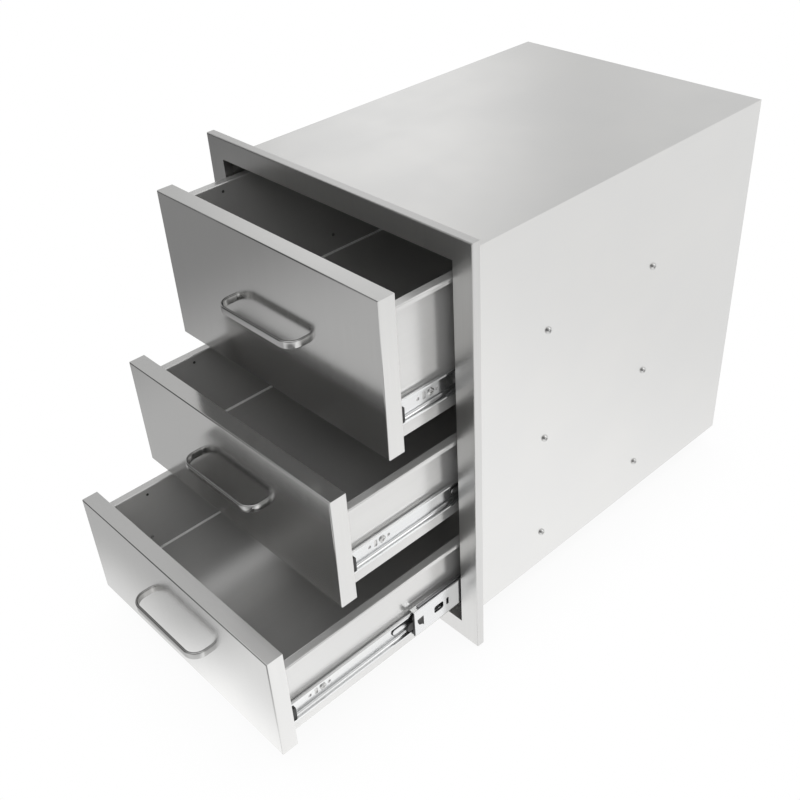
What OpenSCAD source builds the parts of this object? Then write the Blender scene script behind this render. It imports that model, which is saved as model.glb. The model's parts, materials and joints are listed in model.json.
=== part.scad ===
// Built-in outdoor kitchen drawer unit in sheet steel: a box behind a face frame, and three drawers
// on ball-bearing slides, drawn out by different amounts. Lengths are in millimetres.
// X runs to the right as seen from the front, Y to the back, Z up. The zero point is on the rear
// face of the face frame, in the middle of its bottom edge.

/* [Face frame] */
// width of the face frame
frame_width = 402; // [396:1:410]
// height of the face frame
frame_height = 520; // [512:1:530]
// how far the face frame stands proud of the surround
frame_depth = 10; // [9:0.5:11]
// width of the bars around the opening
frame_bar = 25; // [24:0.5:26]
// width of the hem that rests against the surround
frame_hem = 8; // [6:0.5:10]

/* [Box] */
// depth of the box behind the face frame
box_depth = 500; // [485:1:520]
// sheet of the face frame and the box
panel_sheet = 1.2; // [1:0.1:1.4]

/* [Drawer fronts] */
// height of the two lower fronts
low_front = 138; // [134:0.5:140]
// gap above, below and between the fronts
front_gap = 4.5; // [3.5:0.5:5.5]
// gap beside the fronts
side_gap = 2.5; // [2:0.25:3]
// thickness of the folded fronts
front_thick = 20; // [18:0.5:22]
// sheet of the fronts
front_sheet = 1.2; // [1:0.1:1.4]
// outside radius of the folds of the fronts and the face frame
front_fold = 1.5; // [1.25:0.25:2]

/* [Drawer trays] */
// depth of the trays behind the fronts
tray_depth = 400; // [385:1:420]
// sheet of the trays
tray_sheet = 1; // [0.8:0.1:1.2]
// height of the tray sides above the lower edge of the front
tray_foot = 8; // [7:0.5:9]
// drop from the top front's upper edge to the tray rim
top_drop = 15; // [13:0.5:18]
// drop from the lower fronts' upper edges to the tray rims
low_drop = 23; // [21:0.5:25]
// height of the tray floor above the lower edge of the sides
floor_rise = 11; // [9:0.5:13]
// how far the rim of a side turns outward
rim_width = 10; // [8:0.5:11]
// height of the lip that turns down from the rim
rim_lip = 5; // [4:0.5:6]
// diameter of the hole near the front of each left side
rim_hole = 2.5; // [2:0.25:3]
// distance of that hole behind the front
rim_hole_back = 54; // [50:1:58]
// distance of that hole below the rim
rim_hole_down = 9; // [8:0.5:10]
// depth of the hem along the top of the tray back
back_hem = 8; // [6:0.5:10]

/* [Handles] */
// distance between the legs of a handle
handle_pitch = 120; // [112:1:128]
// how far a handle stands out
handle_reach = 21; // [19:0.5:23]
// height of the flat strap
strap_height = 9.5; // [8:0.5:11]
// thickness of the flat strap
strap_thick = 3.2; // [3:0.1:3.6]
// outside radius of the bends
strap_bend = 17; // [15:0.5:18]
// diameter of the stud in each leg
stud_d = 3; // [2.6:0.1:3]
// length of the stud behind the face
stud_length = 8; // [7:0.5:9]
// diameter of the washer on the stud
washer_d = 9; // [8:0.5:10]
// thickness of the washer on the stud
washer_thick = 0.8; // [0.6:0.1:1]
// width across the flats of the nut
nut_flats = 5.5; // [5:0.25:6]
// thickness of the nut
nut_thick = 2.4; // [2:0.1:2.8]

/* [Slides] */
// length of the slide members
slide_length = 350; // [342:1:356]
// height of the cabinet member
slide_height = 45; // [44:0.5:46]
// width of a slide between tray and box
slide_width = 12.7; // [12.5:0.1:13]
// sheet of the slide members
slide_sheet = 1; // [0.9:0.05:1.1]
// height of the ball race between two members
slide_race = 3.2; // [3.1:0.05:3.3]
// distance of the slides behind the face frame
slide_setback = 12; // [11.8:0.1:14]
// height of the slide centres above the lower edges of the fronts
slide_rise = 42.5; // [41:0.5:44]
// how far a tray member runs in its middle member
inner_stroke = 159; // [157:1:161]
// diameter of the balls
ball_d = 2.6; // [2.5:0.05:2.6]
// thickness of the ball cages
cage_thick = 1.2; // [1:0.1:1.4]
// width of the ball cages
cage_width = 3; // [2.8:0.1:3.2]
// thickness of the end buffers
buffer_thick = 1.8; // [1.6:0.1:2]
// length of the end buffers
buffer_length = 16; // [14:0.5:18]
// how far the end buffers stand out in front
buffer_nose = 1.5; // [1.2:0.1:1.5]
// distance of the release levers behind the front
lever_back = 145; // [141:1:149]
// length of the release levers
lever_length = 48; // [44:1:52]
// thickness of the release levers
lever_thick = 1.6; // [1.4:0.1:1.8]
// outside radius of the rolled edges of the tray rails
rail_roll = 5; // [4.5:0.1:5.2]
// height of the lip along each edge of the tray rails, sheet and all
rail_lip = 1.9; // [1.7:0.1:2.1]
// how far the round bumper stands out in front of each end buffer
bumper_length = 9; // [8.5:0.25:9.5]
// height of the round bumpers
bumper_height = 11.4; // [11:0.2:12]
// gap between a shut front and the bumpers
bumper_gap = 1; // [0.8:0.1:1.4]

/* [Screws] */
// diameter of the pan heads
head_d = 8; // [7.5:0.25:8.5]
// height of the pan heads
head_height = 2.6; // [2.4:0.1:2.8]
// height of the flat heads inside the slides
low_head = 1.6; // [1.4:0.1:1.8]
// diameter of the screws
screw_d = 4; // [3.8:0.1:4]
// span of the cross recess
recess_span = 4.4; // [4:0.2:4.8]
// width of the cross recess
recess_width = 0.9; // [0.8:0.1:1]
// depth of the cross recess
recess_depth = 1; // [0.8:0.1:1.2]
// distance of the front box screws behind the face frame
screw_front = 127.5; // [124:0.5:131]
// distance of the rear box screws behind the face frame
screw_rear = 310; // [306:1:314]
// distance of the front screws of the tray rails behind the front
rail_screw_front = 46.5; // [45:0.5:48]
// distance of the rear screws of the tray rails behind the front
rail_screw_rear = 320; // [316:1:324]

/* [Rest pose] */
// how far the top drawer is drawn out
top_out = 89; // [87:1:91]
// how far the middle drawer is drawn out
middle_out = 165; // [163:0.5:165]
// how far the bottom drawer is drawn out
bottom_out = 261; // [258:1:264]

/* [Hidden] */
over = 0.6;                              // cuts run past faces by this much
half_open = frame_width / 2 - frame_bar; // half the width of the opening, the box is as wide inside
open_low = frame_bar;
open_high = frame_height - frame_bar;
box_half = half_open + panel_sheet;
box_low = open_low - panel_sheet;
box_high = open_high + panel_sheet;
front_half = half_open - side_gap;
top_front = open_high - open_low - 2 * low_front - 4 * front_gap;
// drawers 0, 1 and 2 are the top, the middle and the bottom one
front_z = [open_high - front_gap - top_front, open_low + 2 * front_gap + low_front, open_low + front_gap];
front_h = [top_front, low_front, low_front];
drop = [top_drop, low_drop, low_drop];
out = [top_out, middle_out, bottom_out];
shut_back = front_thick - frame_depth;   // rear plane of a shut front, behind the face frame
lead = slide_setback - shut_back;        // the tray rails start this far behind a front
// the runners start this far behind the cabinet rails, so that a shut front clears the bumpers
runner_back = buffer_nose + bumper_length + bumper_gap - lead;
runner_out = [for (o = out) max(o - inner_stroke, 0)];
tray_half = half_open - slide_width;     // outside of the tray sides
// slide members: half heights, and distances from the tray side toward the box
race_step = slide_sheet + slide_race;
rail_half = slide_height / 2;
runner_half = rail_half - race_step;
tray_rail_half = runner_half - race_step;
rail_mouth_share = 0.28;
web_share = 0.76;
runner_mouth_share = 0.24;
tray_rail_share = 0.51;
outer_ball_share = 0.515;
inner_ball_share = 0.46;
rail_mouth = slide_width * rail_mouth_share;
runner_web = slide_width * web_share;
runner_mouth = slide_width * runner_mouth_share;
tray_rail_w = slide_width * tray_rail_share;
outer_ball = slide_width * outer_ball_share;
inner_ball = slide_width * inner_ball_share;
curl_share = 0.55;                       // lips that hold the balls, as a share of the race
curl = slide_race * curl_share;
bend_share = 1.5;                        // folds of slides and trays, as a share of the slide sheet
bend = slide_sheet * bend_share;
play = 0.1;                              // round screws and studs
tip = 0.5;                               // screw ends past the last sheet
hole_fn = 32;
ball_fn = 24;

// General shapes

// a block from one corner to the opposite one
module block(a, b) {
  translate(a) cube([b[0] - a[0], b[1] - a[1], b[2] - a[2]]);
}

// a round rod along X or Y from a point
module rod_x(p, d, l) { translate(p) rotate([0, 90, 0]) cylinder(d = d, h = l, $fn = hole_fn); }
module rod_y(p, d, l) { translate(p) rotate([-90, 0, 0]) cylinder(d = d, h = l, $fn = hole_fn); }

// a flat shape, drawn in X and Z, run along Y from y for a length l
module along_y(y, l) {
  translate([0, y + l, 0]) rotate([90, 0, 0]) linear_extrude(height = l) children();
}

// a flat rectangle between two corners with round corners
module round_rect(a, b, r) {
  translate([a[0] + r, a[1]]) square([b[0] - a[0] - 2 * r, b[1] - a[1]]);
  translate([a[0], a[1] + r]) square([b[0] - a[0], b[1] - a[1] - 2 * r]);
  for (x = [a[0] + r, b[0] - r], y = [a[1] + r, b[1] - r])
    translate([x, y]) circle(r = r, $fn = hole_fn);
}

// a flat rectangle with round corners along its low edge only
module round_foot(a, b, r) {
  translate([a[0] + r, a[1]]) square([b[0] - a[0] - 2 * r, b[1] - a[1]]);
  translate([a[0], a[1] + r]) square([b[0] - a[0], b[1] - a[1] - r]);
  for (x = [a[0] + r, b[0] - r]) translate([x, a[1] + r]) circle(r = r, $fn = hole_fn);
}

// a block whose four edges round its front face are folded: half width, Z range, Y range
module fold_block(half, z, y, r) {
  intersection() {
    translate([0, 0, z[0]]) linear_extrude(height = z[1] - z[0])
      round_foot([-half, y[0]], [half, y[1]], r);
    translate([-half, 0, 0]) rotate([90, 0, 90]) linear_extrude(height = 2 * half)
      rotate(-90) round_foot([-z[1], y[0]], [-z[0], y[1]], r);
  }
}

// the children on one side: s is 1 for the right, -1 for the left
module on_side(s) {
  if (s > 0) children(); else mirror([1, 0, 0]) children();
}

// the children at a right slide of drawer i: X from the tray side toward the box, Y from the front
// ends of the shut slide, Z from its centre
module at_slide(i, y) {
  translate([tray_half, slide_setback + y, front_z[i] + slide_rise]) children();
}

// the children at drawer i: Y from the rear plane of its front, Z from its lower edge
module at_front(i) {
  translate([0, shut_back - out[i], front_z[i]]) children();
}

// Face frame and box

module face_frame() {
  color("silver") difference() {
    fold_block(frame_width / 2, [0, frame_height], [-frame_depth, 0], front_fold);
    block([-half_open, -frame_depth - over, open_low], [half_open, over, open_high]);
    // hollow of the bars, open to the rear between the hem and the box
    difference() {
      union() {
        block([-frame_width / 2 + panel_sheet, -frame_depth + panel_sheet, panel_sheet],
          [frame_width / 2 - panel_sheet, -panel_sheet, frame_height - panel_sheet]);
        block([-frame_width / 2 + frame_hem, -2 * panel_sheet, frame_hem],
          [frame_width / 2 - frame_hem, over, frame_height - frame_hem]);
      }
      block([-box_half, -frame_depth, box_low], [box_half, 2 * over, box_high]);
    }
  }
}

module flat_panel(z) {
  color("silver") block([-box_half, 0, z], [box_half, box_depth, z + panel_sheet]);
}
module top_panel() { flat_panel(box_high - panel_sheet); }
module bottom_panel() { flat_panel(box_low); }

module side_panel(s) {
  color("silver") on_side(s) difference() {
    block([half_open, 0, open_low], [box_half, box_depth, open_high]);
    for (i = [0:2], y = [screw_front, screw_rear])
      rod_x([half_open - over, y, front_z[i] + slide_rise], screw_d + 2 * play,
        panel_sheet + 2 * over);
  }
}
module left_panel() { side_panel(-1); }
module right_panel() { side_panel(1); }

module back_panel() {
  color("silver") block([-half_open, box_depth - panel_sheet, open_low], [half_open, box_depth, open_high]);
}

// Slides

// a folded channel: web at u1 when it opens toward the tray, at u0 when it opens toward the box
module channel(u0, u1, half, to_tray, lips) {
  t = slide_sheet;
  difference() {
    round_rect([u0, -half], [u1, half], bend);
    round_rect([to_tray ? u0 - bend - t : u0 + t, -half + t],
      [to_tray ? u1 - t : u1 + bend + t, half - t], bend - t);
  }
  for (v = [-1, 1]) {
    // square off the free edges of the flanges
    translate([to_tray ? u0 : u1 - bend, v > 0 ? half - t : -half]) square([bend, t]);
    // lips that hold the balls
    if (lips) translate([u0, v > 0 ? half - t - curl : -half]) square([t, t + curl]);
  }
}

// a channel that opens toward the box, with rolled edges and lips, its web at 0
module rolled_channel(u, half) {
  t = slide_sheet;
  intersection() {
    difference() {
      round_rect([0, -half], [u + 2 * rail_roll, half], rail_roll);
      round_rect([t, -half + t], [u + 2 * rail_roll, half - t], rail_roll - t);
    }
    translate([0, -half]) square([u, 2 * half]);
  }
  for (v = [-half, half - rail_lip]) translate([u - t, v]) square([t, rail_lip]);
}

module cabinet_rail(i, s) {
  color("lightgray") on_side(s) at_slide(i, 0) difference() {
    along_y(0, slide_length) channel(rail_mouth, slide_width, rail_half, true, true);
    for (y = [screw_front, screw_rear])
      rod_x([runner_web, y - slide_setback, 0], screw_d + 2 * play, slide_width);
  }
}
module top_left_rail() { cabinet_rail(0, -1); }
module top_right_rail() { cabinet_rail(0, 1); }
module middle_left_rail() { cabinet_rail(1, -1); }
module middle_right_rail() { cabinet_rail(1, 1); }
module bottom_left_rail() { cabinet_rail(2, -1); }
module bottom_right_rail() { cabinet_rail(2, 1); }

// a round head with a cross recess, its seat at X = 0 and the head toward +X
head_rim_share = 0.5;
head_crown_share = 0.72;
module cross_head(height) {
  rim = height * head_rim_share;
  difference() {
    rotate([0, 90, 0]) {
      cylinder(d = head_d, h = rim, $fn = hole_fn);
      translate([0, 0, rim])
        cylinder(d1 = head_d, d2 = head_d * head_crown_share, h = height - rim, $fn = hole_fn);
    }
    for (a = [0, 90]) rotate([a, 0, 0])
      block([height - recess_depth, -recess_span / 2, -recess_width / 2],
        [height + over, recess_span / 2, recess_width / 2]);
  }
}

module box_screws() {
  shank = panel_sheet + slide_sheet + tip;
  color("gray") for (s = [-1, 1]) on_side(s)
    for (i = [0:2], y = [screw_front, screw_rear])
      translate([box_half, y, front_z[i] + slide_rise]) {
        cross_head(head_height);
        rod_x([-shank, 0, 0], screw_d, shank);
      }
}

// holes in a slide member, one row for each: the place of its middle as a share of the slide length,
// and its length and height as shares of the slide height
runner_hole_shares = [[0.106, 0.318, 0.222], [0.145, 0.084, 0.222], [0.857, 0.318, 0.222]];
// corners of the hole over each end buffer, as shares of the slide height
stop_hole_shares = [[0.09, 0.1], [0.3, 0.12], [0.3, -0.2], [0.25, -0.14], [0.15, -0.1], [0.1, 0]];
rail_hole_shares = [[0.083, 0.093, 0.093], [0.107, 0.1, 0.2], [0.157, 0.093, 0.093], [0.857, 0.1, 0.2]];
runner_corner_share = 0.3;
rail_corner_share = 0.45;
module slots(x, shares, corner_share) {
  for (h = shares) {
    l = slide_height * h[1];
    w = slide_height * h[2];
    translate([x - over, slide_length * h[0], 0]) rotate([90, 0, 90])
      linear_extrude(height = slide_sheet + 2 * over)
        round_rect([-l / 2, -w / 2], [l / 2, w / 2], min(l, w) * corner_share);
  }
}

// middle members, with holes in their webs near the front
module runner(i, s) {
  color("lightgray") on_side(s) at_slide(i, runner_back - runner_out[i]) difference() {
    along_y(0, slide_length - runner_back)
      channel(runner_mouth, runner_web + slide_sheet, runner_half, true, true);
    slots(runner_web, runner_hole_shares, runner_corner_share);
    translate([runner_web - over, 0, 0]) rotate([90, 0, 90])
      linear_extrude(height = slide_sheet + 2 * over)
        polygon([for (p = stop_hole_shares) slide_height * p]);
  }
}
module top_left_runner() { runner(0, -1); }
module top_right_runner() { runner(0, 1); }
module middle_left_runner() { runner(1, -1); }
module middle_right_runner() { runner(1, 1); }
module bottom_left_runner() { runner(2, -1); }
module bottom_right_runner() { runner(2, 1); }

// strips that hold the balls: two outside each runner and two inside it
outer_cage_shares = [0.023, 0.96];   // start and end, as shares of the slide length
inner_cage_shares = [0.023, 0.5];
module cage(u, v, shares, balls) {
  a = slide_length * shares[0];
  b = slide_length * shares[1];
  block([u - cage_width / 2, a, v - cage_thick / 2], [u + cage_width / 2, b, v + cage_thick / 2]);
  for (k = [1:2:2 * balls - 1]) translate([u, a + (b - a) * k / (2 * balls), v])
    sphere(d = ball_d, $fn = ball_fn);
}
module ball_cages(i) {
  color("dimgray") for (s = [-1, 1]) on_side(s) at_slide(i, runner_back - runner_out[i])
    for (v = [-1, 1]) {
      cage(outer_ball, v * (runner_half + slide_race / 2), outer_cage_shares, 5);
      cage(inner_ball, v * (tray_rail_half + slide_race / 2), inner_cage_shares, 3);
    }
}
module top_ball_cages() { ball_cages(0); }
module middle_ball_cages() { ball_cages(1); }
module bottom_ball_cages() { ball_cages(2); }

// plastic buffers inside the front end of each runner, with a nose in front of its web
buffer_web_share = 0.9;     // height of the nose, as a share of the runner's
buffer_body_share = 0.9;    // height of the body, as a share of the tray rail's
module end_buffers(i) {
  v = tray_rail_half * buffer_body_share;
  r = bumper_height / 2;
  n = runner_half * buffer_web_share;
  u = runner_web - buffer_thick;
  color("black") for (s = [-1, 1]) on_side(s) at_slide(i, runner_back - runner_out[i]) {
    block([u, -buffer_nose, -v], [runner_web, buffer_length - buffer_nose, v]);
    block([runner_web, -buffer_nose, -n], [runner_web + slide_sheet, 0, n]);
    block([u, r - buffer_nose - bumper_length, -r], [runner_web, -buffer_nose, r]);
    rod_x([u, r - buffer_nose - bumper_length, 0], bumper_height, buffer_thick);
  }
}
module top_end_buffers() { end_buffers(0); }
module middle_end_buffers() { end_buffers(1); }
module bottom_end_buffers() { end_buffers(2); }

// Drawers

module front_shell(i) {
  h = front_h[i];
  color("silver") at_front(i) difference() {
    fold_block(front_half, [0, h], [-front_thick, 0], front_fold);
    block([-front_half + front_sheet, -front_thick + front_sheet, front_sheet],
      [front_half - front_sheet, over, h - front_sheet]);
    for (s = [-1, 1]) rod_y([s * handle_pitch / 2, -front_thick - over, h / 2],
      stud_d + 2 * play, front_sheet + 2 * over);
  }
}
module top_front_shell() { front_shell(0); }
module middle_front_shell() { front_shell(1); }
module bottom_front_shell() { front_shell(2); }

module front_liner(i) {
  color("silver") at_front(i) block([-front_half + front_sheet, -tray_sheet, front_sheet],
    [front_half - front_sheet, 0, front_h[i] - front_sheet]);
}
module top_front_liner() { front_liner(0); }
module middle_front_liner() { front_liner(1); }
module bottom_front_liner() { front_liner(2); }

// screws through a tray rail and the tray side, behind the front; the middle one is behind the lever
rail_screw_back = [rail_screw_front, lever_back + lever_length + head_d, rail_screw_rear];

module tray_side(i, s) {
  t = tray_sheet;
  top = front_h[i] - drop[i];
  rim = tray_half + rim_width;
  color("silver") on_side(s) at_front(i) difference() {
    along_y(0, tray_depth) {
      translate([tray_half - t, tray_foot]) square([t, top - tray_foot - bend]);
      intersection() {
        difference() {
          round_rect([tray_half - t, top - 4 * rim_lip], [rim, top], bend);
          round_rect([tray_half, top - 5 * rim_lip], [rim - t, top - t], bend - t / 2);
        }
        union() {
          translate([tray_half - t, top - rim_lip]) square([rim_width + t, rim_lip]);
          translate([tray_half - t, top - 2 * rim_lip]) square([t, 2 * rim_lip]);
        }
      }
    }
    for (y = rail_screw_back)
      rod_x([tray_half - t - over, y, slide_rise], screw_d + 2 * play, t + 2 * over);
    if (s < 0) rod_x([tray_half - t - over, rim_hole_back, top - rim_hole_down], rim_hole, t + 2 * over);
  }
}
module top_left_side() { tray_side(0, -1); }
module top_right_side() { tray_side(0, 1); }
module middle_left_side() { tray_side(1, -1); }
module middle_right_side() { tray_side(1, 1); }
module bottom_left_side() { tray_side(2, -1); }
module bottom_right_side() { tray_side(2, 1); }

module tray_floor(i) {
  x = tray_half - tray_sheet;
  z = tray_foot + floor_rise;
  color("silver") at_front(i) block([-x, 0, z - tray_sheet], [x, tray_depth - tray_sheet, z]);
}
module top_tray_floor() { tray_floor(0); }
module middle_tray_floor() { tray_floor(1); }
module bottom_tray_floor() { tray_floor(2); }

module tray_back(i) {
  x = tray_half - tray_sheet;
  top = front_h[i] - drop[i] - rim_lip;
  color("silver") at_front(i) {
    block([-x, tray_depth - tray_sheet, tray_foot], [x, tray_depth, top]);
    block([-x, tray_depth - tray_sheet, top - tray_sheet], [x, tray_depth + back_hem, top]);
  }
}
module top_tray_back() { tray_back(0); }
module middle_tray_back() { tray_back(1); }
module bottom_tray_back() { tray_back(2); }

module handle(i) {
  a = handle_pitch / 2 + strap_thick / 2;
  color("silver") at_front(i) translate([0, -front_thick, front_h[i] / 2]) {
    translate([0, 0, -strap_height / 2]) linear_extrude(height = strap_height) intersection() {
      difference() {
        round_rect([-a, -handle_reach], [a, handle_reach], strap_bend);
        round_rect([-a + strap_thick, -handle_reach + strap_thick],
          [a - strap_thick, 2 * handle_reach], strap_bend - strap_thick);
      }
      translate([-2 * a, -2 * handle_reach]) square([4 * a, 2 * handle_reach]);
    }
    for (s = [-1, 1]) rod_y([s * handle_pitch / 2, -strap_thick, 0], stud_d, strap_thick + stud_length);
  }
}
module top_handle() { handle(0); }
module middle_handle() { handle(1); }
module bottom_handle() { handle(2); }

module handle_nuts(i) {
  color("gray") at_front(i) for (s = [-1, 1])
    translate([s * handle_pitch / 2, -front_thick + front_sheet, front_h[i] / 2]) difference() {
      union() {
        rod_y([0, 0, 0], washer_d, washer_thick);
        rotate([-90, 0, 0]) intersection_for (a = [0, 60, 120]) rotate(a)
          translate([-nut_flats, -nut_flats / 2, 0])
            cube([2 * nut_flats, nut_flats, washer_thick + nut_thick]);
      }
      rod_y([0, -over, 0], stud_d + 2 * play, washer_thick + nut_thick + 2 * over);
    }
}
module top_handle_nuts() { handle_nuts(0); }
module middle_handle_nuts() { handle_nuts(1); }
module bottom_handle_nuts() { handle_nuts(2); }

// tray rails, with the small holes seen near their front ends
module tray_rails(i) {
  color("lightgray") for (s = [-1, 1]) on_side(s) translate([tray_half, 0, slide_rise]) at_front(i)
    difference() {
      along_y(lead, slide_length) rolled_channel(tray_rail_w, tray_rail_half);
      for (y = rail_screw_back) rod_x([-over, y, 0], screw_d + 2 * play, slide_sheet + 2 * over);
      slots(0, rail_hole_shares, rail_corner_share);
    }
}
module top_tray_rails() { tray_rails(0); }
module middle_tray_rails() { tray_rails(1); }
module bottom_tray_rails() { tray_rails(2); }

module rail_screws(i) {
  shank = tray_sheet + slide_sheet + tip;
  color("gray") for (s = [-1, 1]) on_side(s) translate([tray_half, 0, slide_rise]) at_front(i)
    for (y = rail_screw_back) translate([slide_sheet, y, 0]) {
      cross_head(low_head);
      rod_x([-shank, 0, 0], screw_d, shank);
    }
}
module top_rail_screws() { rail_screws(0); }
module middle_rail_screws() { rail_screws(1); }
module bottom_rail_screws() { rail_screws(2); }

// tongues in the tray rails that are lifted to release the drawer, and the pivots that they turn on
lever_share = 0.24;         // half the height of the tongue, as a share of the rail's half height
pivot_share = 0.36;         // radius of the pivot, as a share of the rail's half height
module release_levers(i) {
  w = tray_rail_half * lever_share;
  p = tray_rail_half * pivot_share;
  color("gray") for (s = [-1, 1]) on_side(s) translate([tray_half + slide_sheet, 0, slide_rise]) at_front(i)
    translate([0, lever_back, 0]) rotate([90, 0, 90]) linear_extrude(height = lever_thick) {
      translate([w, -w]) square([lever_length - p - w, 2 * w]);
      translate([w, 0]) circle(r = w, $fn = hole_fn);
      translate([lever_length - p, 0]) circle(r = p, $fn = hole_fn);
    }
}
module top_release_levers() { release_levers(0); }
module middle_release_levers() { release_levers(1); }
module bottom_release_levers() { release_levers(2); }

face_frame();
top_panel();
bottom_panel();
left_panel();
right_panel();
back_panel();
top_left_rail();
top_right_rail();
middle_left_rail();
middle_right_rail();
bottom_left_rail();
bottom_right_rail();
box_screws();
top_left_runner();
top_right_runner();
top_ball_cages();
top_end_buffers();
middle_left_runner();
middle_right_runner();
middle_ball_cages();
middle_end_buffers();
bottom_left_runner();
bottom_right_runner();
bottom_ball_cages();
bottom_end_buffers();
top_front_shell();
top_front_liner();
top_left_side();
top_right_side();
top_tray_floor();
top_tray_back();
top_handle();
top_handle_nuts();
top_tray_rails();
top_rail_screws();
top_release_levers();
middle_front_shell();
middle_front_liner();
middle_left_side();
middle_right_side();
middle_tray_floor();
middle_tray_back();
middle_handle();
middle_handle_nuts();
middle_tray_rails();
middle_rail_screws();
middle_release_levers();
bottom_front_shell();
bottom_front_liner();
bottom_left_side();
bottom_right_side();
bottom_tray_floor();
bottom_tray_back();
bottom_handle();
bottom_handle_nuts();
bottom_tray_rails();
bottom_rail_screws();
bottom_release_levers();
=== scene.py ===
"""Looks of the built-in outdoor kitchen drawer unit: stainless sheet finishes, handles, light and camera.

Lengths are in metres, in the frame of the CAD model: X to the right as seen from the front, Y to the
back, Z up, zero on the rear face of the face frame in the middle of its bottom edge.
"""

import json
import math

import bmesh
import bpy
from mathutils import Matrix, Vector

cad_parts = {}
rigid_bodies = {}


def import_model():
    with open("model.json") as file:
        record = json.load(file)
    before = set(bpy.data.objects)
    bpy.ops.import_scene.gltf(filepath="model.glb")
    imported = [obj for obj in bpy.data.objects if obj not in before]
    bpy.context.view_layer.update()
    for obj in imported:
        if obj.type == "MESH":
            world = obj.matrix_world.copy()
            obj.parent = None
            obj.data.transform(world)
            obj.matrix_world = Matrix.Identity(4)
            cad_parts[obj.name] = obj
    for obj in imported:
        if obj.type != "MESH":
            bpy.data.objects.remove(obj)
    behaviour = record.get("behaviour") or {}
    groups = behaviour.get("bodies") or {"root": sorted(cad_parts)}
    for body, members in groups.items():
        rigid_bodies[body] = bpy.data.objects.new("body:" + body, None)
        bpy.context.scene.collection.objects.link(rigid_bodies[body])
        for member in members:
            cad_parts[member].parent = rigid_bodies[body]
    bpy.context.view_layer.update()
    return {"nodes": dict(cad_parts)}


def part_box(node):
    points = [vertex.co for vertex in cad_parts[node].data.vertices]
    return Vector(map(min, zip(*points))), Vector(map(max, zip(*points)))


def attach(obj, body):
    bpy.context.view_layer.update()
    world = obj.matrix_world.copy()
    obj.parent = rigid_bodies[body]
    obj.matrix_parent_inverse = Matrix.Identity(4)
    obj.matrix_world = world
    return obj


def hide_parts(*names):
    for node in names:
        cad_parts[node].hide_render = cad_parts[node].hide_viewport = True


for old in list(bpy.data.objects):
    bpy.data.objects.remove(old)

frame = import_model()
NODES = frame["nodes"]
DRAWERS = ("top", "middle", "bottom")
MM = 0.001


# ---------------------------------------------------------------- node helpers

class Graph:
    """A node tree, with short calls for the nodes that are used here."""

    def __init__(self, tree):
        self.tree = tree
        tree.nodes.clear()

    def add(self, kind, **values):
        n = self.tree.nodes.new(kind)
        for key, value in values.items():
            setattr(n, key, value)
        return n

    def link(self, a, b):
        self.tree.links.new(a, b)

    def put(self, socket, value):
        """Links an output to the socket, or sets a plain value on it."""
        if isinstance(value, bpy.types.NodeSocket):
            self.link(value, socket)
        else:
            socket.default_value = value

    def math(self, operation, a, b=0.0):
        n = self.add("ShaderNodeMath", operation=operation)
        self.put(n.inputs[0], a)
        self.put(n.inputs[1], b)
        return n.outputs[0]

    def ramp(self, value, a, b, c, d):
        """value mapped from a..b to c..d with soft ends, and held outside them."""
        n = self.add("ShaderNodeMapRange", interpolation_type="SMOOTHSTEP")
        self.put(n.inputs["Value"], value)
        for key, x in (("From Min", a), ("From Max", b), ("To Min", c), ("To Max", d)):
            n.inputs[key].default_value = x
        return n.outputs["Result"]

    def mix(self, share, a, b):
        n = self.add("ShaderNodeMix", data_type="RGBA", clamp_factor=True)
        self.put(n.inputs["Factor"], share)
        self.put(n.inputs["A"], a)
        self.put(n.inputs["B"], b)
        return n.outputs["Result"]

    def noise(self, vector, scale, stretch=(1, 1, 1), detail=2.0, rough=0.5, offset=(0, 0, 0)):
        m = self.add("ShaderNodeMapping")
        m.inputs["Scale"].default_value = stretch
        m.inputs["Location"].default_value = offset
        self.link(vector, m.inputs["Vector"])
        n = self.add("ShaderNodeTexNoise")
        self.link(m.outputs[0], n.inputs["Vector"])
        n.inputs["Scale"].default_value = scale
        n.inputs["Detail"].default_value = detail
        n.inputs["Roughness"].default_value = rough
        return n.outputs["Fac"]

    def bump(self, height, distance, normal=None):
        n = self.add("ShaderNodeBump")
        n.inputs["Distance"].default_value = distance
        self.link(height, n.inputs["Height"])
        if normal is not None:
            self.link(normal, n.inputs["Normal"])
        return n.outputs["Normal"]

    def surface(self, shader, output="ShaderNodeOutputMaterial"):
        self.link(shader.outputs[0], self.add(output).inputs["Surface"])

    def by_ray(self, seen, lit, output="ShaderNodeOutputMaterial"):
        """The camera sees one shader. Metal mirrors the other, which also lights the object."""
        mix = self.add("ShaderNodeMixShader")
        self.link(self.add("ShaderNodeLightPath").outputs["Is Camera Ray"], mix.inputs[0])
        self.link(lit.outputs[0], mix.inputs[1])
        self.link(seen.outputs[0], mix.inputs[2])
        self.surface(mix, output)


def rgb(level, tint=(1.0, 1.0, 1.0)):
    return tuple(level * t for t in tint) + (1.0,)


def new_graph(name):
    m = bpy.data.materials.new(name)
    m.use_nodes = True
    return m, Graph(m.node_tree)


# ---------------------------------------------------------------- finishes

STEEL_TINT = (1.0, 0.995, 0.98)
CLOUD_TINT = (1.0, 1.0, 0.995)
ZINC_TINT = (0.985, 0.995, 1.0)
CAGE_TINT = (0.97, 0.98, 1.0)

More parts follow.
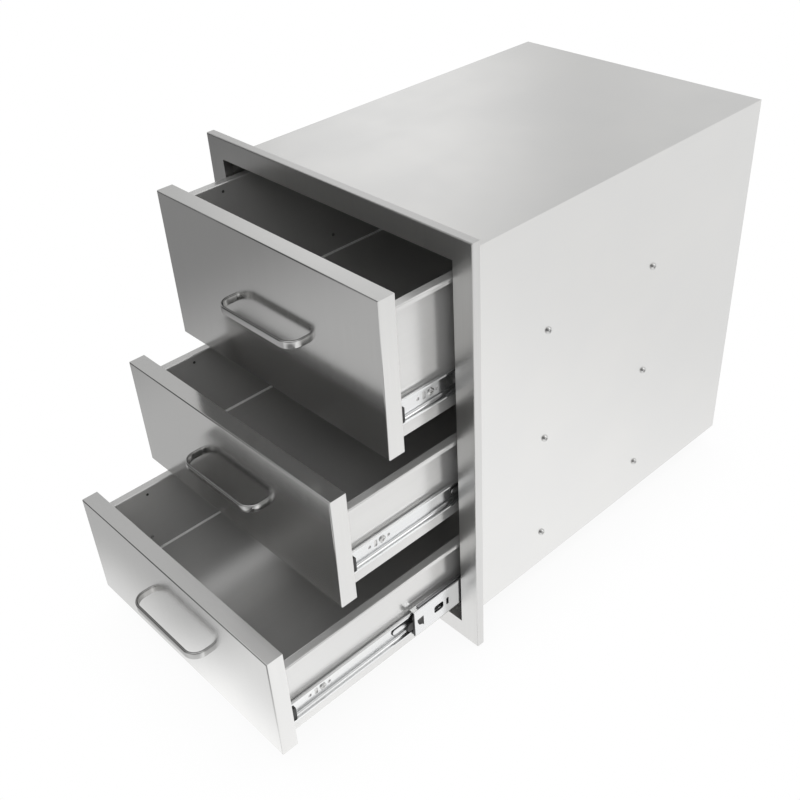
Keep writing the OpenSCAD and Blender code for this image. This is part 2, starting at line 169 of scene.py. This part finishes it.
WIDE_STROKES = 0.22           # scale of the wider strokes, as a share of the fine ones'
FINE_WEIGHT = 0.6             # weight of the fine strokes, the wider ones have the rest
CLOUD_SCALE = 7.0             # broad cloudy change of tone, in patches per metre
CLOUD_SHARE = 0.5             # how much of it is mixed in at most
CLOUD_TONE = 0.97             # its tone, as a share of the finish's
CLOUD_ROUGHNESS = 0.02        # its change of roughness, up and down
SHEET_SCALE = 5.0             # waves of an uneven sheet, in waves per metre
BRIGHTEST = 0.95              # no stroke is paler
SMOOTHEST = 0.04              # and none is smoother


def steel(name, tone, roughness, grain, lines=900.0, depth=0.012, contrast=0.06, spread=0.05, wave=0.0,
          anisotropy=0.0, metallic=1.0, tint=STEEL_TINT):
    """Sheet or strip of stainless steel. grain is how the noise is stretched: small along the brushing.
    lines is the fineness of the brushing, depth its bump in mm, contrast and spread the change of tone and
    of roughness from stroke to stroke, and wave the bump in mm of the uneven sheet. Where there is
    anisotropy, it is that of upright strokes."""
    m, g = new_graph(name)
    place = g.add("ShaderNodeTexCoord").outputs["Object"]
    fine = g.noise(place, lines, grain, detail=3.0, rough=0.62)
    wide = g.noise(place, lines * WIDE_STROKES, grain, detail=2.0, rough=0.5, offset=(3.1, 7.7, 1.3))
    clouds = g.noise(place, CLOUD_SCALE, detail=3.0, rough=0.55, offset=(11.0, 4.0, 9.0))
    strokes = g.math("ADD", g.math("MULTIPLY", fine, FINE_WEIGHT), g.math("MULTIPLY", wide, 1 - FINE_WEIGHT))
    shade = g.mix(g.ramp(strokes, 0.3, 0.7, 0.0, 1.0), rgb(tone * (1 - contrast), tint),
                  rgb(min(tone * (1 + contrast), BRIGHTEST), tint))
    shade = g.mix(g.ramp(clouds, 0.3, 0.7, 0.0, CLOUD_SHARE), shade, rgb(tone * CLOUD_TONE, CLOUD_TINT))
    rough = g.math("ADD", g.ramp(strokes, 0.25, 0.75, roughness - spread, roughness + spread),
                   g.ramp(clouds, 0.3, 0.7, -CLOUD_ROUGHNESS, CLOUD_ROUGHNESS))
    s = g.add("ShaderNodeBsdfPrincipled")
    s.inputs["Metallic"].default_value = metallic
    s.inputs["Anisotropic"].default_value = anisotropy
    g.link(shade, s.inputs["Base Color"])
    g.link(g.math("MAXIMUM", rough, SMOOTHEST), s.inputs["Roughness"])
    normal = g.bump(strokes, depth * MM)
    if wave:
        sheet = g.noise(place, SHEET_SCALE, detail=1.0, rough=0.4, offset=(1.0, 6.0, 2.0))
        normal = g.bump(sheet, wave * MM, normal)
    g.link(normal, s.inputs["Normal"])
    if anisotropy:
        upright = g.add("ShaderNodeCombineXYZ")
        upright.inputs["Z"].default_value = 1.0
        g.link(upright.outputs[0], s.inputs["Tangent"])
    g.surface(s)
    return m


def plastic(name):
    """Black moulded plastic with a fine grain and paler scuffs."""
    m, g = new_graph(name)
    place = g.add("ShaderNodeTexCoord").outputs["Object"]
    grain = g.noise(place, 2600.0)
    scuffs = g.noise(place, 140.0, detail=4.0, rough=0.65)
    shade = g.mix(g.ramp(scuffs, 0.55, 0.75, 0.0, 1.0), rgb(0.016), rgb(0.045))
    s = g.add("ShaderNodeBsdfPrincipled")
    g.link(shade, s.inputs["Base Color"])
    g.link(g.ramp(scuffs, 0.3, 0.7, 0.38, 0.55), s.inputs["Roughness"])
    g.link(g.bump(grain, 0.03 * MM), s.inputs["Normal"])
    g.surface(s)
    return m


UP = (1.0, 1.0, 0.012)        # grain that runs up and down
BACK = (1.0, 0.012, 1.0)      # grain that runs front to back
ACROSS = (0.012, 1.0, 1.0)    # grain that runs from side to side
EVEN = (1, 1, 1)              # grain that runs no way

FRONT = steel("front_steel", 0.68, 0.15, UP, depth=0.003, contrast=0.02, spread=0.012, wave=0.10,
              anisotropy=0.3)
STILE = steel("frame_steel", 0.64, 0.32, UP, depth=0.003, contrast=0.03, spread=0.02, wave=0.05,
              anisotropy=0.3)
BOX = steel("box_steel", 0.74, 0.24, BACK, depth=0.004, contrast=0.012, spread=0.015, wave=0.30)
TRAY = steel("tray_steel", 0.72, 0.22, BACK, depth=0.0012, contrast=0.012, spread=0.01, wave=0.08,
             metallic=0.62)
BACKS = steel("tray_back_steel", 0.70, 0.22, ACROSS, depth=0.0012, contrast=0.012, spread=0.01, wave=0.08,
              metallic=0.62)
# pale, nearly matt steel for the tray folds: its paleness is a painted highlight along each fold
PAINTED_FOLD_HIGHLIGHT = steel("fold_steel_painted_highlight", 0.94, 0.32, BACK, depth=0.006, contrast=0.01, spread=0.03, metallic=0.05)
HANDLE = steel("handle_steel", 0.54, 0.08, ACROSS, lines=1400.0, depth=0.004, contrast=0.03, spread=0.03)
SLIDE = steel("slide_zinc", 0.76, 0.20, BACK, lines=500.0, depth=0.0015, contrast=0.012, spread=0.012,
              metallic=0.95, tint=ZINC_TINT)
SCREW = steel("screw_steel", 0.62, 0.22, EVEN, lines=1600.0, depth=0.02)
CAGE = steel("cage_steel", 0.30, 0.30, BACK, lines=700.0, tint=CAGE_TINT)
PLASTIC = plastic("black_plastic")


# ---------------------------------------------------------------- CAD nodes

# how a node's name ends, its finish, and the radius in mm that its sharp edges are rounded by; the first
# row that fits counts
FINISHES = (
    ("_front_shell", FRONT, 0.55), ("_front_liner", TRAY, 0.0), ("face_frame", STILE, 0.25),
    ("_panel", BOX, 0.0), ("_side", TRAY, 0.48), ("_tray_floor", TRAY, 0.0), ("_tray_back", BACKS, 0.2),
    ("_handle_nuts", SCREW, 0.0), ("_screws", SCREW, 0.0), ("_ball_cages", CAGE, 0.0),
    ("_end_buffers", PLASTIC, 0.2), ("_release_levers", SLIDE, 0.3), ("_tray_rails", SLIDE, 0.0),
    ("_runner", SLIDE, 0.0), ("_rail", SLIDE, 0.0), ("_handle", HANDLE, 0.0))

WELD_LENGTH = 0.002 * MM      # points closer than this are one
SAME_PLANE = 0.3              # degrees within which triangles are merged to one face
SHARP = 50                    # degrees from which an edge is rounded
ROUND_SEGMENTS = 2
SQUARE = 0.9999               # a face whose normal has a part this long along an axis is square to it


def flat_sheets():
    """A modifier's node group that drops the loaded normals, which no longer fit beside a rounded edge, and
    shades the faces square to an axis flat, so that a sheet's wide face stays even."""
    tree = bpy.data.node_groups.new("flat_sheets", "GeometryNodeTree")
    tree.interface.new_socket("Geometry", in_out="INPUT", socket_type="NodeSocketGeometry")
    tree.interface.new_socket("Geometry", in_out="OUTPUT", socket_type="NodeSocketGeometry")
    g = Graph(tree)
    size = g.add("ShaderNodeVectorMath", operation="ABSOLUTE")
    g.link(g.add("GeometryNodeInputNormal").outputs[0], size.inputs[0])
    parts = g.add("ShaderNodeSeparateXYZ")
    g.link(size.outputs[0], parts.inputs[0])
    x, y, z = parts.outputs
    square = g.math("GREATER_THAN", g.math("MAXIMUM", g.math("MAXIMUM", x, y), z), SQUARE)
    drop = g.add("GeometryNodeRemoveAttribute")
    drop.inputs["Name"].default_value = "custom_normal"
    g.link(g.add("NodeGroupInput").outputs[0], drop.inputs["Geometry"])
    shade = g.add("GeometryNodeSetShadeSmooth", domain="FACE")
    g.link(drop.outputs[0], shade.inputs["Geometry"])
    g.link(square, shade.inputs["Selection"])
    shade.inputs["Shade Smooth"].default_value = False
    g.link(shade.outputs[0], g.add("NodeGroupOutput").inputs[0])
    return tree


FLAT_SHEETS = flat_sheets()


def round_edges(o, radius):
    """Rounds the sharp edges of a CAD node by radius mm. The triangles of each flat face are merged first,
    because the rounding of a hole's edge otherwise leaves faint lines from hole to hole."""
    weld = o.modifiers.new("weld", "WELD")
    weld.merge_threshold = WELD_LENGTH
    merge = o.modifiers.new("merge", "DECIMATE")
    merge.decimate_type = "DISSOLVE"
    merge.angle_limit = math.radians(SAME_PLANE)
    bevel = o.modifiers.new("bevel", "BEVEL")
    bevel.width = radius * MM
    bevel.segments = ROUND_SEGMENTS
    bevel.limit_method = "ANGLE"
    bevel.angle_limit = math.radians(SHARP)
    bevel.use_clamp_overlap = True
    o.modifiers.new("flat_sheets", "NODES").node_group = FLAT_SHEETS


def dress(node):
    """Gives a CAD node the finish and the rounded edges of its row in FINISHES."""
    material, radius = next(row[1:] for row in FINISHES if node.endswith(row[0]))
    slots = NODES[node].data.materials
    for k in range(len(slots)):
        slots[k] = material
    if radius:
        round_edges(NODES[node], radius)


for node in sorted(NODES):
    dress(node)


# ---------------------------------------------------------------- mesh helpers

SMOOTH = 40                   # degrees up to which an edge is shaded smooth


def skin(bm, rings):
    """Faces from ring to ring of points, with a cap at each end."""
    rings = [[bm.verts.new(point) for point in ring] for ring in rings]
    for r, s in zip(rings, rings[1:]):
        for k in range(len(r)):
            j = (k + 1) % len(r)
            bm.faces.new((r[k], r[j], s[j], s[k]))
    bm.faces.new(list(reversed(rings[0])))
    bm.faces.new(rings[-1])


def prism(bm, outline, axis, start, end):
    """An outline of (a, b) points pushed along an axis: a and b are the other two axes in order."""
    def point(a, b, c):
        return Vector(((c, a, b), (a, c, b), (a, b, c))[axis])
    skin(bm, [[point(a, b, c) for a, b in outline] for c in (start, end)])


def round_outline(a0, a1, b0, b1, radius, steps=5):
    """A rectangle from a0, b0 to a1, b1 with rounded corners."""
    points = []
    for ca, cb, start in ((a1, b1, 0), (a0, b1, 90), (a0, b0, 180), (a1, b0, 270)):
        sa, sb = (1 if ca == a1 else -1), (1 if cb == b1 else -1)
        for k in range(steps + 1):
            t = math.radians(start + 90.0 * k / steps)
            points.append((ca - sa * radius + radius * math.cos(t), cb - sb * radius + radius * math.sin(t)))
    return points


def circle(radius, sides):
    """Points of a circle round zero."""
    turns = [2 * math.pi * k / sides for k in range(sides)]
    return [(radius * math.cos(t), radius * math.sin(t)) for t in turns]


def add_piece(name, bm, material, body):
    """Turns mesh code into a piece that rides on a body."""
    bmesh.ops.recalc_face_normals(bm, faces=bm.faces)
    mesh = bpy.data.meshes.new(name)
    bm.to_mesh(mesh)
    bm.free()
    mesh.materials.append(material)
    for p in mesh.polygons:
        p.use_smooth = True
    mesh.set_sharp_from_angle(angle=math.radians(SMOOTH))
    o = bpy.data.objects.new(name, mesh)
    bpy.context.scene.collection.objects.link(o)
    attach(o, body)
    return o


# ---------------------------------------------------------------- handles

STRAP_THICK = 3.2 * MM
STRAP_BEND = 17 * MM          # outer radius of the two bends
STRAP_EDGE = 1.5 * MM         # radius of the strap's long edges
STRAP_EDGE_STEPS = 6
LEG_STEPS, BEND_STEPS, BAR_STEPS = 3, 28, 12
STUD_RADIUS = 1.5 * MM
STUD_INSIDE = 1.5 * MM        # how far a stud starts inside its leg
STUD_CHAMFER = 0.4 * MM
STUD_SIDES = 24


def strap_path(half, face, front, z):
    """Points along the middle of the strap, from its left leg to its right one, each with the way that
    the strap's outside looks."""
    r = STRAP_BEND - STRAP_THICK / 2
    points = []
    for k in range(LEG_STEPS + 1):
        points.append((Vector((-half, face + (front + r - face) * k / LEG_STEPS, z)), Vector((-1, 0, 0))))
    for k in range(1, BEND_STEPS + 1):
        a = math.pi / 2 * k / BEND_STEPS
        points.append((Vector((-half + r - r * math.cos(a), front + r - r * math.sin(a), z)),
                       Vector((-math.cos(a), -math.sin(a), 0))))
    for k in range(1, BAR_STEPS):
        points.append((Vector((-half + r + (2 * half - 2 * r) * k / BAR_STEPS, front, z)),
                       Vector((0, -1, 0))))
    for k in range(BEND_STEPS + 1):
        a = math.pi / 2 * k / BEND_STEPS
        points.append((Vector((half - r + r * math.sin(a), front + r - r * math.cos(a), z)),
                       Vector((math.sin(a), -math.cos(a), 0))))
    for k in range(1, LEG_STEPS + 1):
        points.append((Vector((half, front + r + (face - front - r) * k / LEG_STEPS, z)),
                       Vector((1, 0, 0))))
    return points


def make_handle(drawer):
    """The flat strap handle with its two large bends, and a stud in each leg."""
    node = drawer + "_handle"
    low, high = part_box(node)
    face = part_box(drawer + "_front_shell")[0].y
    half = (high.x - low.x) / 2 - STRAP_THICK / 2
    height = high.z - low.z
    z = (high.z + low.z) / 2
    section = round_outline(-STRAP_THICK / 2, STRAP_THICK / 2, -height / 2, height / 2, STRAP_EDGE,
                            STRAP_EDGE_STEPS)
    up = Vector((0, 0, 1))
    bm = bmesh.new()
    skin(bm, [[point + side * a + up * b for a, b in section]
              for point, side in strap_path(half, face, low.y + STRAP_THICK / 2, z)])
    for side in (-1, 1):
        ends = ((face - STUD_INSIDE, STUD_RADIUS), (high.y - STUD_CHAMFER, STUD_RADIUS),
                (high.y, STUD_RADIUS - STUD_CHAMFER))
        skin(bm, [[(side * half + a, y, z + b) for a, b in circle(r, STUD_SIDES)] for y, r in ends])
    o = add_piece(node + "_strap", bm, HANDLE, drawer + "_drawer")
    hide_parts(node)


for drawer in DRAWERS:
    make_handle(drawer)


# ---------------------------------------------------------------- folds with a painted highlight, painted shade at the rail ends and round the levers, and plugs

FOLD_RADIUS = 2.0 * MM
FOLD_STEPS = 8
FOLD_START = 1.2 * MM         # a fold starts this far behind the front of the tray floor

RAIL_SHADE_FRONT = 0.2 * MM         # front and rear of a black block of painted shade, behind the front end of its rail
RAIL_SHADE_REAR = 5.5 * MM
RAIL_SHADE_BELOW = 12.5 * MM        # how far a block reaches below and above the middle of its rail
RAIL_SHADE_ABOVE = 4.5 * MM
RAIL_SHADE_INSIDE = 5.4 * MM        # from the outer side of the rail to the inner side of the block
RAIL_SHADE_THICK = 4.2 * MM
RAIL_SHADE_CORNER = 1.2 * MM

TRAY_RAIL_HALF = 14.1 * MM    # half the height inside a tray rail, as in the CAD source
TONGUE_SHARE = 0.24           # half the height of a lever's tongue, as a share of that
LEVER_THICK = 1.6 * MM
SHADE_OUTLINE_EDGE = 1.1 * MM          # how far the painted dark outline shows round the tongue
SHADE_OUTLINE_END = 4.0 * MM           # an outline ends this far in front of the lever's rear end
SHADE_OUTLINE_FLAT = 0.1 * MM          # half the straight stretch at the front of an outline
SHADE_OUTLINE_THICK = 0.7 * MM
SHADE_OUTLINE_STEPS = 8

PLUG_BACK = 54.0 * MM         # place of the hole, behind the front and below the top of the left side
PLUG_DOWN = 9.0 * MM
RIM_WIDTH = 10.0 * MM         # from the outer edge of the rim to the outer face of the side
PLUG_SHANK_END = 11.5 * MM    # from the same edge to the end of the plug's shank
PLUG_SHANK = 1.2 * MM         # radius of the shank
PLUG_FLANGE = 1.7 * MM        # radius of the flange beside the shank, and of its far end
PLUG_TIP = 1.3 * MM
PLUG_FLANGE_THICK = 0.5 * MM
PLUG_SIDES = 20


def make_tray_bends(drawer):
    """The folds between the floor of a tray and its two sides, in a pale, nearly matt finish that paints a
    highlight line along each fold.
    """
    low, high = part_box(drawer + "_tray_floor")
    bm = bmesh.new()
    for s in (-1, 1):
        x, z = s * high.x, high.z
        outline = [(x, z)]
        for k in range(FOLD_STEPS + 1):
            t = math.pi / 2 * k / FOLD_STEPS
            outline.append((x - s * FOLD_RADIUS * (1 - math.sin(t)), z + FOLD_RADIUS * (1 - math.cos(t))))
        prism(bm, outline, 1, low.y + FOLD_START, high.y)
    # the pale finish paints a highlight along each fold
    add_piece(drawer + "_tray_bends", bm, PAINTED_FOLD_HIGHLIGHT, drawer + "_drawer")


def make_rail_end_shade(drawer):
    """Black blocks inside the front end of the two tray rails: painted shade for the dark gap between a
    rail's end and the drawer front.
    """
    low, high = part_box(drawer + "_tray_rails")
    middle = (low.z + high.z) / 2
    outline = round_outline(low.y + RAIL_SHADE_FRONT, low.y + RAIL_SHADE_REAR, middle - RAIL_SHADE_BELOW, middle + RAIL_SHADE_ABOVE,
                            RAIL_SHADE_CORNER)
    bm = bmesh.new()
    for s in (-1, 1):
        inside = s * (high.x - RAIL_SHADE_INSIDE)
        prism(bm, outline, 0, inside, inside + s * RAIL_SHADE_THICK)
    # black plastic here is painted shade of the gap at each rail's front end
    add_piece(drawer + "_rail_end_shade", bm, PLASTIC, drawer + "_drawer")


def make_lever_shade_outlines(drawer):
    """Black plates behind the release levers that paint a dark outline of shade round them."""
    low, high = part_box(drawer + "_release_levers")
    middle = (low.z + high.z) / 2
    half = TONGUE_SHARE * TRAY_RAIL_HALF + SHADE_OUTLINE_EDGE
    outline = round_outline(low.y - SHADE_OUTLINE_EDGE, high.y - SHADE_OUTLINE_END, middle - half, middle + half,
                            half - SHADE_OUTLINE_FLAT, SHADE_OUTLINE_STEPS)
    bm = bmesh.new()
    for s in (-1, 1):
        inside = s * (high.x - LEVER_THICK)
        prism(bm, outline, 0, inside, inside + s * SHADE_OUTLINE_THICK)
    # black plastic here paints a dark outline of shade round each lever
    add_piece(drawer + "_lever_shade_outlines", bm, PLASTIC, drawer + "_drawer")


def make_hole_plug(drawer):
    """The small dark plug in the hole of the left side."""
    low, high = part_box(drawer + "_left_side")
    y, z = low.y + PLUG_BACK, high.z - PLUG_DOWN
    outside, inside = low.x + RIM_WIDTH, low.x + PLUG_SHANK_END
    ends = ((outside, PLUG_SHANK), (inside, PLUG_SHANK), (inside, PLUG_FLANGE),
            (inside + PLUG_FLANGE_THICK, PLUG_TIP))
    bm = bmesh.new()
    skin(bm, [[(x, y + a, z + b) for a, b in circle(r, PLUG_SIDES)] for x, r in ends])
    add_piece(drawer + "_hole_plug", bm, PLASTIC, drawer + "_drawer")


for drawer in DRAWERS:
    make_tray_bends(drawer)
    make_rail_end_shade(drawer)
    make_lever_shade_outlines(drawer)
    make_hole_plug(drawer)


# ---------------------------------------------------------------- stage, light and camera

FLOOR_HALF = 6.0              # half the width of the floor
FLOOR_DROP = 0.001            # how far it lies below the object
FOOT_REACH = 0.12             # how far the object shades the floor that the camera sees
FOOT_SHADE = 0.94             # and the deepest shade
DARK_SPOT = (0.42, -0.56)     # below the camera


def floor_material():
    """White to the camera, with a faint shade at the foot. Metal sees a studio table that is bright to the
    right and the back, greyer to the left, and dark far in front on the left and below the camera."""
    m, g = new_graph("table")
    xyz = g.add("ShaderNodeSeparateXYZ")
    g.link(g.add("ShaderNodeNewGeometry").outputs["Position"], xyz.inputs[0])
    x, y = xyz.outputs["X"], xyz.outputs["Y"]
    # each ramp gives the two places that it runs between, and the level or its change at either
    level = g.ramp(x, -0.85, -0.45, 0.30, 0.56)
    foot = g.math("MULTIPLY", g.ramp(x, -0.36, -0.20, 0.0, 1.0), g.ramp(y, -0.335, -0.275, 0.0, 0.36))
    level = g.math("ADD", level, foot)
    for place, a, b, change in ((x, -0.10, 0.05, 0.36), (y, -0.25, -0.05, -0.16), (y, 0.10, 0.80, -0.17)):
        level = g.math("ADD", level, g.ramp(place, a, b, 0.0, change))
    near = g.math("MAXIMUM", g.ramp(x, -2.4, -1.25, 0.02, 1.0), g.ramp(y, -0.9, 0.3, 0.0, 1.0))
    level = g.math("MAXIMUM", g.math("MULTIPLY", level, near), g.ramp(y, -0.2, 0.5, 0.0, 0.8))
    dx, dy = (g.math("SUBTRACT", place, centre) for place, centre in zip((x, y), DARK_SPOT))
    away = g.math("SQRT", g.math("ADD", g.math("MULTIPLY", dx, dx), g.math("MULTIPLY", dy, dy)))
    level = g.math("MULTIPLY", level, g.ramp(away, 0.10, 0.42, 0.30, 1.0))
    seen, lit = g.add("ShaderNodeEmission"), g.add("ShaderNodeEmission")
    ao = g.add("ShaderNodeAmbientOcclusion", samples=8)
    ao.inputs["Distance"].default_value = FOOT_REACH
    g.link(g.ramp(ao.outputs["AO"], 0.0, 1.0, FOOT_SHADE, 1.0), seen.inputs["Strength"])
    g.link(level, lit.inputs["Strength"])
    g.by_ray(seen, lit)
    return m


def make_floor():
    mesh = bpy.data.meshes.new("floor")
    corners = [(a * FLOOR_HALF, b * FLOOR_HALF, -FLOOR_DROP) for a, b in ((-1, -1), (1, -1), (1, 1), (-1, 1))]
    mesh.from_pydata(corners, [], [(0, 1, 2, 3)])
    floor = bpy.data.objects.new("floor", mesh)
    bpy.context.scene.collection.objects.link(floor)
    mesh.materials.append(floor_material())


# patches of the studio that metal sees: how a patch counts, the way to its middle, the angles in degrees
# from there to its full level and to its end, and the level in the middle and outside
PATCHES = (
    (None, (-0.70, 0.62, 0.36), 2.0, 14.0, 1.10, 0.60),
    ("MAXIMUM", (-0.47, 0.81, 0.34), 2.0, 14.0, 0.80, 0.60),
    ("MAXIMUM", (0.58, 0.54, 0.61), 16.0, 30.0, 1.15, 0.50),
    ("MAXIMUM", (0.58, 0.54, 0.61), 6.0, 14.0, 2.40, 0.50),
    ("MAXIMUM", (0.0, 0.0, 1.0), 15.0, 45.0, 0.95, 0.55),
    ("MULTIPLY", (-0.60, -0.62, 0.50), 20.0, 44.0, 0.30, 1.0),
    ("MULTIPLY", (-0.70, -0.68, 0.10), 18.0, 30.0, 0.01, 1.0),
    ("MULTIPLY", (0.60, -0.75, 0.30), 15.0, 50.0, 0.30, 1.0))


def make_world():
    """White behind the object. Metal sees a soft studio: bright patches at the back on both sides and
    overhead, dark ones in front on the left and where the camera stands."""
    world = bpy.data.worlds.new("studio")
    bpy.context.scene.world = world
    world.use_nodes = True
    g = Graph(world.node_tree)
    way = g.add("ShaderNodeTexCoord").outputs["Generated"]

    def angle(direction):
        """Degrees between a direction and the way looked."""
        n = g.add("ShaderNodeVectorMath", operation="DOT_PRODUCT")
        n.inputs[1].default_value = Vector(direction).normalized()
        g.link(way, n.inputs[0])
        return g.math("MULTIPLY", g.math("ARCCOSINE", n.outputs["Value"]), 180 / math.pi)

    for operation, direction, full, end, inside, outside in PATCHES:
        patch = g.ramp(angle(direction), full, end, inside, outside)
        level = g.math(operation, level, patch) if operation else patch
    seen, lit = g.add("ShaderNodeBackground"), g.add("ShaderNodeBackground")
    for b in (seen, lit):
        b.inputs["Color"].default_value = rgb(1.0)
    seen.inputs["Strength"].default_value = 1.0
    g.link(level, lit.inputs["Strength"])
    g.by_ray(seen, lit, "ShaderNodeOutputWorld")


def softbox(name, place, target, size, power):
    """A soft lamp of power watts that metal doesn't mirror."""
    light = bpy.data.lights.new(name, "AREA")
    light.shape = "RECTANGLE"
    light.size, light.size_y = size
    light.energy = power
    o = bpy.data.objects.new(name, light)
    bpy.context.scene.collection.objects.link(o)
    o.visible_glossy = False
    o.location = place
    o.rotation_euler = (Vector(target) - Vector(place)).to_track_quat("-Z", "Y").to_euler()


SENSOR = 36.0                 # width of the camera's sensor in mm
FOCAL = 1056.7                # focal length in pixels of the photograph
PHOTO_WIDTH = 800.0           # its width in pixels
CAMERA = (0.7715, -0.6056, 0.9500)
RIGHT = (0.68667, 0.72507, -0.05246)      # ways in the photograph's frame
DOWN = (0.39568, -0.43331, -0.80974)
AHEAD = (-0.60986, 0.53527, -0.58444)


def make_camera():
    """The photograph's viewpoint, fitted to the corners of the unit that it shows."""
    data = bpy.data.cameras.new("camera")
    data.sensor_width = SENSOR
    data.lens = SENSOR * FOCAL / PHOTO_WIDTH
    data.clip_start, data.clip_end = 0.05, 50.0
    o = bpy.data.objects.new("camera", data)
    bpy.context.scene.collection.objects.link(o)
    turn = Matrix((Vector(RIGHT), -Vector(DOWN), -Vector(AHEAD))).transposed().to_4x4()
    o.matrix_world = Matrix.Translation(CAMERA) @ turn
    bpy.context.scene.camera = o


make_floor()
make_world()
softbox("overhead", place=(-0.2, 1.4, 2.2), target=(0, 0, 0.2), size=(1.2, 0.8), power=4.0)
softbox("side", place=(1.1, -1.0, 1.7), target=(0, -0.15, 0.2), size=(1.0, 1.0), power=8.0)
make_camera()
bpy.context.scene.view_settings.view_transform = "Standard"
